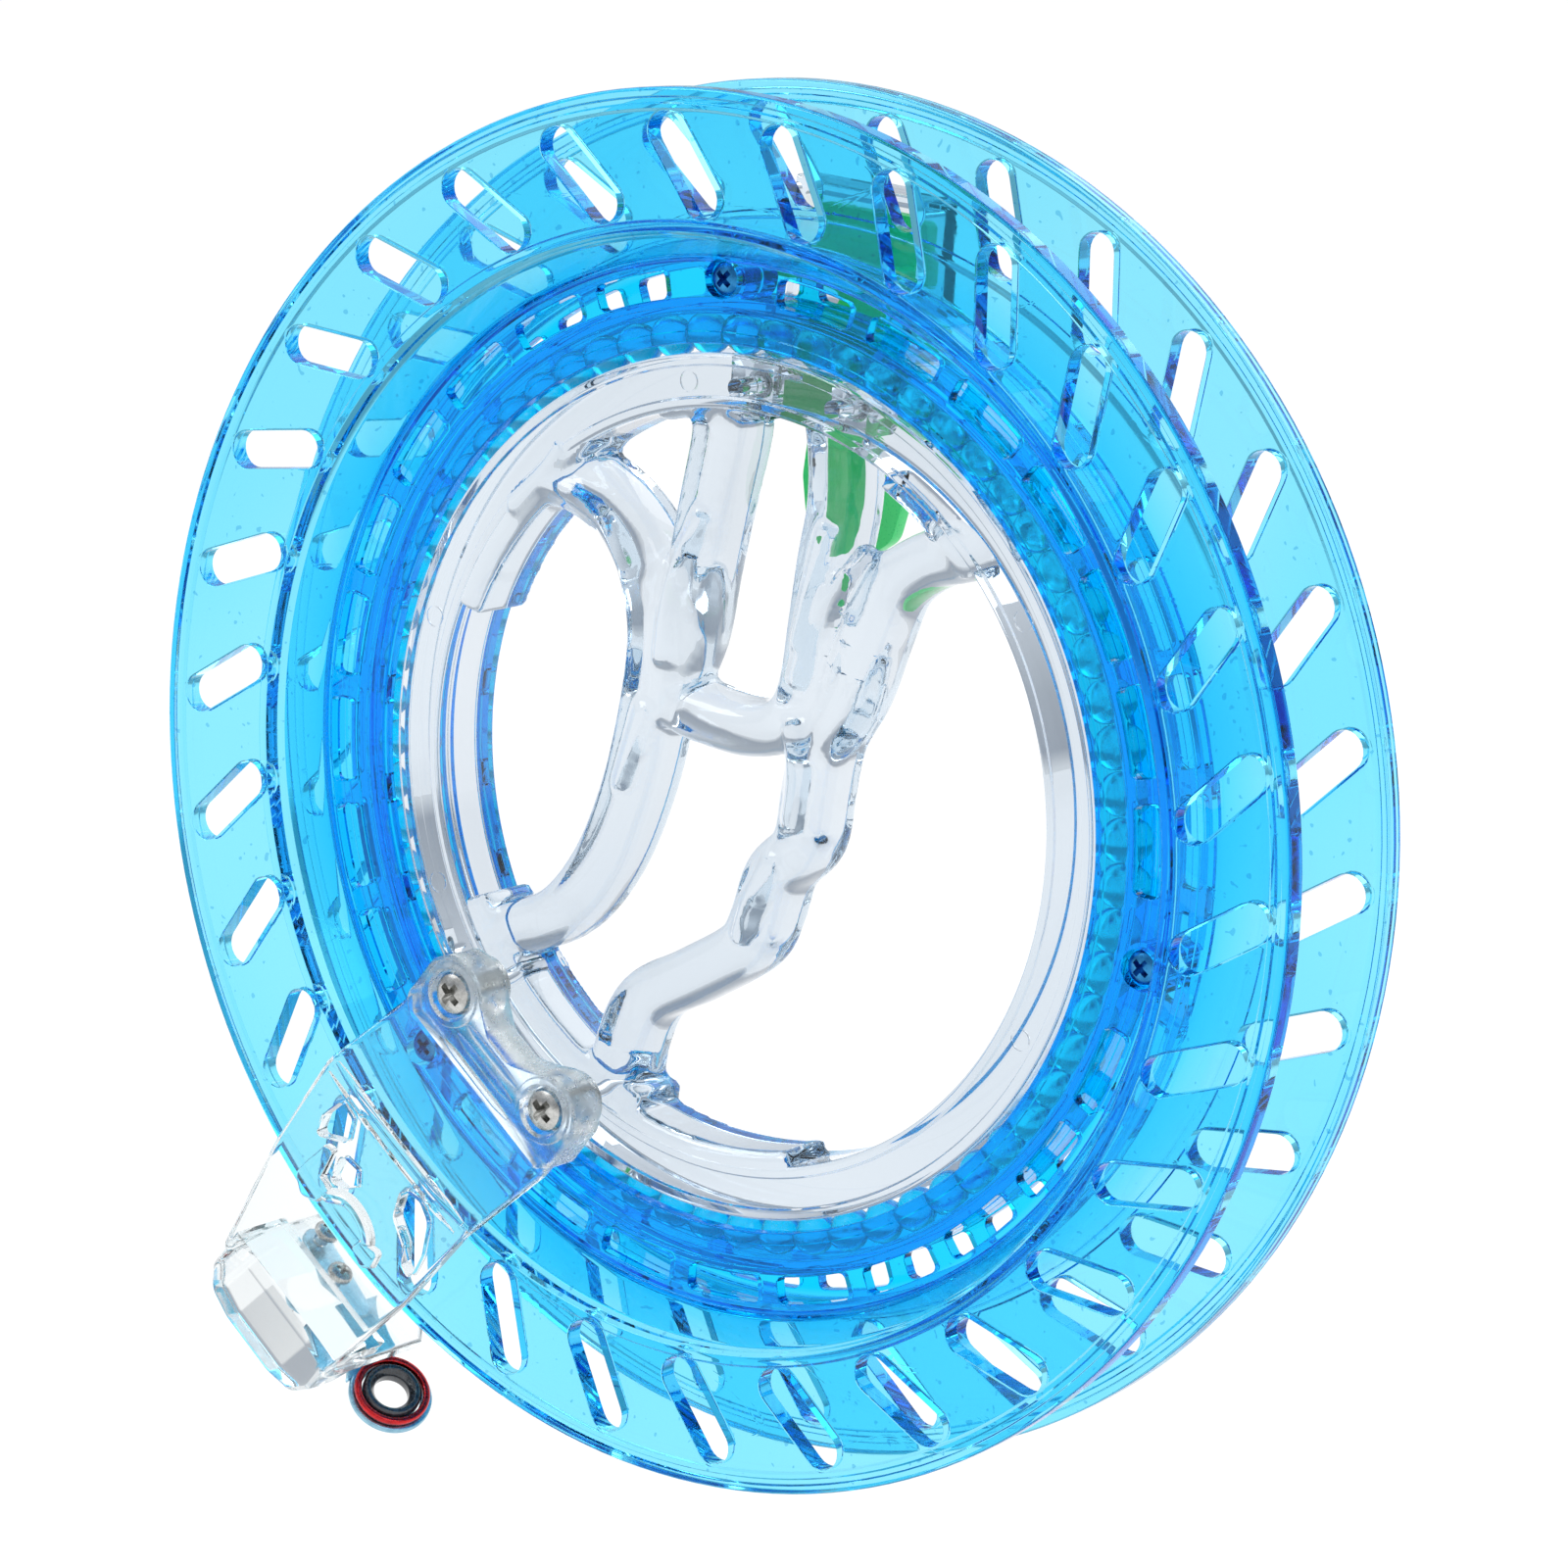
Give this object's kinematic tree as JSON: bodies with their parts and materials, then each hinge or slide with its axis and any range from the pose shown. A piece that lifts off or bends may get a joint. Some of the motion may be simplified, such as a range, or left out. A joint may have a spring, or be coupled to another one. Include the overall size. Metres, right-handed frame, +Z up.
{
  "type": "kite line reel",
  "caption": "Clear blue kite-line reel: a dished two-half spool on a ball bearing round a clear branching hand grip, with a line guide arm and a thumb brake.",
  "frame": {"origin": "on the spool's axis, half-way between the two flanges' outer faces, which is where the hand closes round the grip", "axes": "+Z up, +Y along the spool's axis from the front, where the guide arm is, to the rear, where the brake is, and +X to the right as seen from the front"},
  "size_m": [0.2198, 0.0494, 0.2259],
  "materials": {
    "blue_polycarbonate": "clear blue, polished moulding",
    "clear_acrylic": "clear, polished moulding",
    "ball_plastic": "translucent, faintly frosted",
    "green_plastic": "satin moulding",
    "zinc_steel": "zinc plated",
    "anodised_metal": "blue-grey anodised sheet",
    "red_metal": "red anodised, satin",
    "dark_ceramic": "polished dark ceramic"
  },
  "bodies": {
    "handle": {"hub_grip": "clear_acrylic", "guide_arm": "clear_acrylic", "arm_screw_1": "zinc_steel", "arm_screw_2": "zinc_steel", "guide_frame": "anodised_metal", "guide_bezel": "red_metal", "guide_insert": "dark_ceramic", "guide_screw_1": "zinc_steel", "guide_screw_2": "zinc_steel", "brake_housing": "clear_acrylic", "housing_screw_1": "zinc_steel", "housing_screw_2": "zinc_steel", "brake_pin": "zinc_steel", "brake_spring": "zinc_steel"},
    "spool": {"spool_front": "blue_polycarbonate", "spool_rear": "blue_polycarbonate", "spool_screw_1": "zinc_steel", "spool_screw_2": "zinc_steel", "spool_screw_3": "zinc_steel"},
    "bearing": {"ball_train": "ball_plastic"},
    "brake": {"brake_lever": "green_plastic"}
  },
  "joints": [
    {"name": "spool_spin", "type": "hinge", "parent": "handle", "child": "spool", "pos_m": [0, 0, 0], "axis": [0, 1, 0], "continuous": true},
    {"name": "ball_orbit", "type": "hinge", "parent": "handle", "child": "bearing", "pos_m": [0, 0, 0], "axis": [0, 1, 0], "continuous": true},
    {"name": "brake_hinge", "type": "hinge", "parent": "handle", "child": "brake", "pos_m": [0.00746, 0.01455, 0.06618], "axis": [0.9937, 0, -0.112], "range_deg": [0, 11]}
  ],
  "couplings": [
    {"joint": "ball_orbit", "follows": "spool_spin", "ratio": 0.5245}
  ]
}
